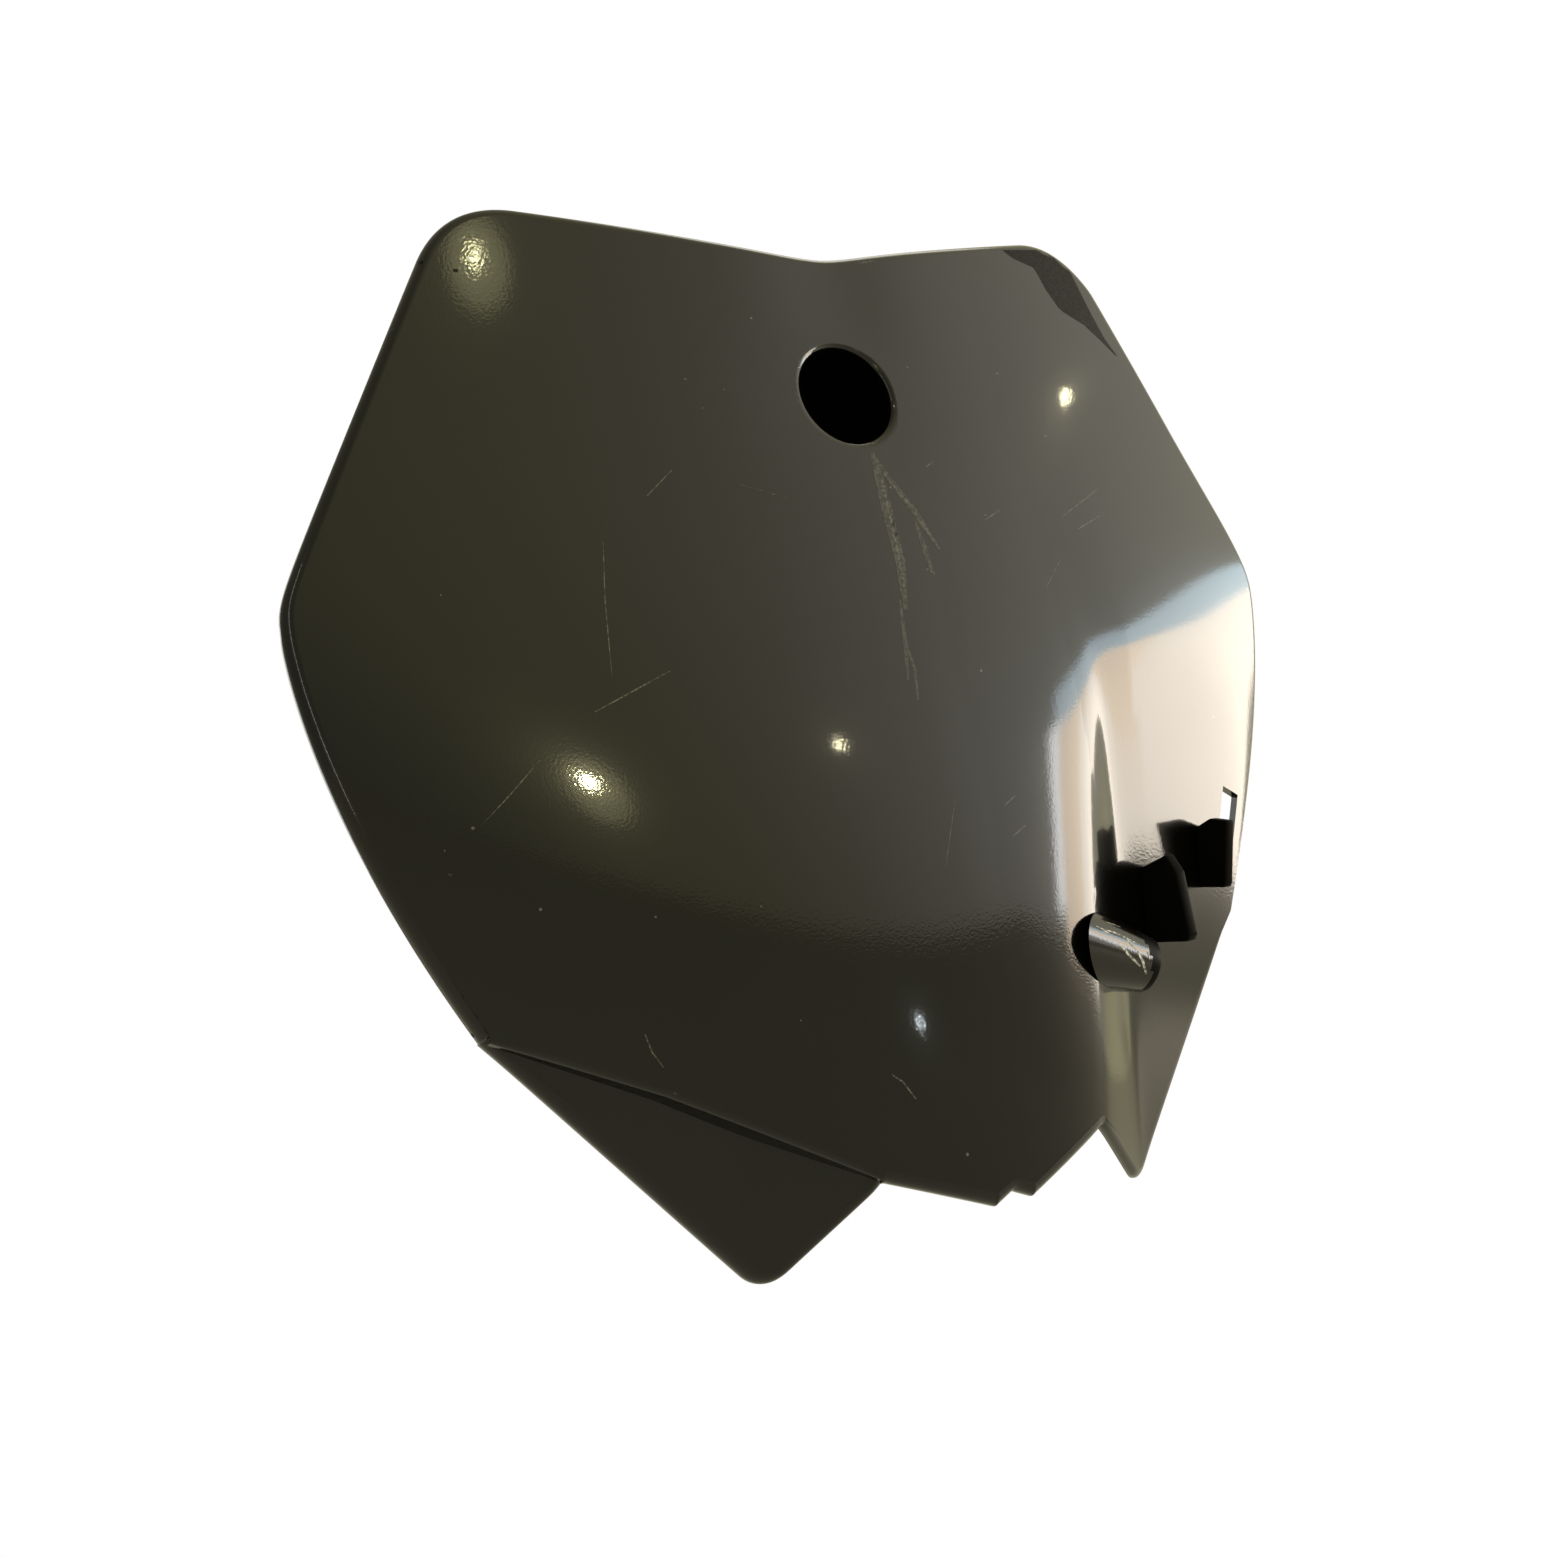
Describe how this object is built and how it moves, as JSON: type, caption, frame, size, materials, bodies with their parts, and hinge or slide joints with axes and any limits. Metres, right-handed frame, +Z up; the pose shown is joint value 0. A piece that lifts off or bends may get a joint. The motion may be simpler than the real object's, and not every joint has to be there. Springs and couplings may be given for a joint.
{
  "type": "racing number board",
  "caption": "Glossy black moulded front number board: convex shield with a rolled edge, top mounting cup, folded lower legs and a hose guide on one wing.",
  "frame": {"origin": "centre of the mouth of the round mounting cup near the top, level with the front face", "axes": "-Y out of the front face along the cup's axis, +Z up along the centre line, +X to the right as seen from the front"},
  "size_m": [0.2355, 0.0315, 0.2154],
  "materials": {
    "shell": "gloss black injection-moulded polypropylene, lightly scratched"
  },
  "bodies": {
    "root": {"number_board": "shell"}
  },
  "joints": []
}
